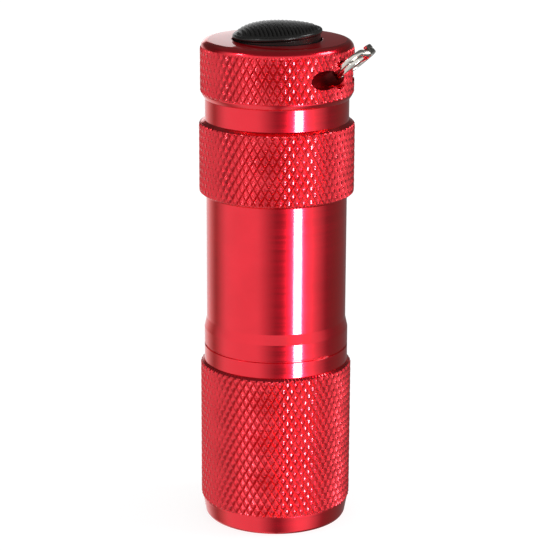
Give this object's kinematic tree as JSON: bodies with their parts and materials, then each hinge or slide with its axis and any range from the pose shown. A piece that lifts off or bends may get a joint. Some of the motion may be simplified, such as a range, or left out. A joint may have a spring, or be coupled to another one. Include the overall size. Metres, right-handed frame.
{
  "type": "pocket flashlight",
  "caption": "Short red anodised aluminium flashlight with knurled head, grip ring and tail cap, a rubber tail switch and a small split key ring.",
  "frame": {"origin": "centre of the flat bezel rim that the flashlight stands on", "axes": "+Z along the flashlight's axis from the bezel to the tail switch; -Y towards the viewer of the picture, +X to the right, where the key ring hangs out"},
  "size_m": [0.0296, 0.0264, 0.0871],
  "materials": {
    "anodised_red": "gloss",
    "seal_rubber": "matte",
    "lens_clear": "gloss",
    "reflector_plated": "polished",
    "led_epoxy": "gloss",
    "board_white": "satin",
    "solder": "satin",
    "brass": "satin",
    "carrier_black": "satin",
    "cell_can": "satin",
    "cell_sleeve": "gloss",
    "spring_steel": "satin",
    "switch_black": "satin",
    "switch_white": "satin",
    "switch_stem": "satin",
    "boot_rubber": "satin",
    "ring_nickel": "polished"
  },
  "bodies": {
    "head": {"head_shell": "anodised_red", "lens_gasket": "seal_rubber", "lens": "lens_clear", "reflector": "reflector_plated", "led_1": "led_epoxy", "led_2": "led_epoxy", "led_3": "led_epoxy", "led_4": "led_epoxy", "led_5": "led_epoxy", "led_6": "led_epoxy", "led_7": "led_epoxy", "led_8": "led_epoxy", "led_9": "led_epoxy", "led_board": "board_white", "solder_joints": "solder", "board_spring": "brass", "board_retainer": "brass"},
    "battery_pack": {"carrier_frame": "carrier_black", "front_contact": "brass", "rear_contact": "brass", "cell_plates": "brass", "cell_1": "cell_can", "cell_2": "cell_can", "cell_3": "cell_can", "cell_wrap_1": "cell_sleeve", "cell_wrap_2": "cell_sleeve", "cell_wrap_3": "cell_sleeve", "cell_spring_1": "spring_steel", "cell_spring_2": "spring_steel", "cell_spring_3": "spring_steel"},
    "barrel": {"barrel_tube": "anodised_red", "barrel_o_ring": "seal_rubber"},
    "tail_seal": {"cap_o_ring": "seal_rubber", "tail_spring": "spring_steel"},
    "tail_cap": {"tail_cap": "anodised_red", "switch_retainer": "brass", "switch_terminal": "brass", "switch_holder": "switch_black", "switch_body": "switch_white", "boot_washer": "switch_black"},
    "button": {"rubber_boot": "boot_rubber", "switch_plunger": "switch_stem", "switch_spring": "spring_steel"},
    "key_ring": {"split_ring": "ring_nickel"}
  },
  "joints": [
    {"name": "barrel_lift", "type": "slide", "parent": "head", "child": "battery_pack", "axis": [0, 0, 1], "range_m": [0, 0.007]},
    {"name": "barrel_turn", "type": "hinge", "parent": "battery_pack", "child": "barrel", "pos_m": [0, 0, 0.02825], "axis": [0, 0, 1], "range_deg": [0, 2520]},
    {"name": "cap_lift", "type": "slide", "parent": "barrel", "child": "tail_seal", "axis": [0, 0, 1], "range_m": [0, 0.005]},
    {"name": "cap_turn", "type": "hinge", "parent": "tail_seal", "child": "tail_cap", "pos_m": [0, 0, 0.0743], "axis": [0, 0, 1], "range_deg": [0, 1800]},
    {"name": "button_press", "type": "slide", "parent": "tail_cap", "child": "button", "axis": [0, 0, -1], "range_m": [0, 0.0012], "stiffness_N_per_m": 1500, "deforming": ["rubber_boot", "switch_spring"]},
    {"name": "ring_swing", "type": "hinge", "parent": "tail_cap", "child": "key_ring", "pos_m": [0.01013, -0.00389, 0.0787], "axis": [-0.3584, -0.9336, 0], "range_deg": [-55, 0]}
  ],
  "couplings": [
    {"joint": "barrel_turn", "follows": "barrel_lift", "rad_per_m": 6283.2},
    {"joint": "cap_turn", "follows": "cap_lift", "rad_per_m": 6283.2}
  ]
}
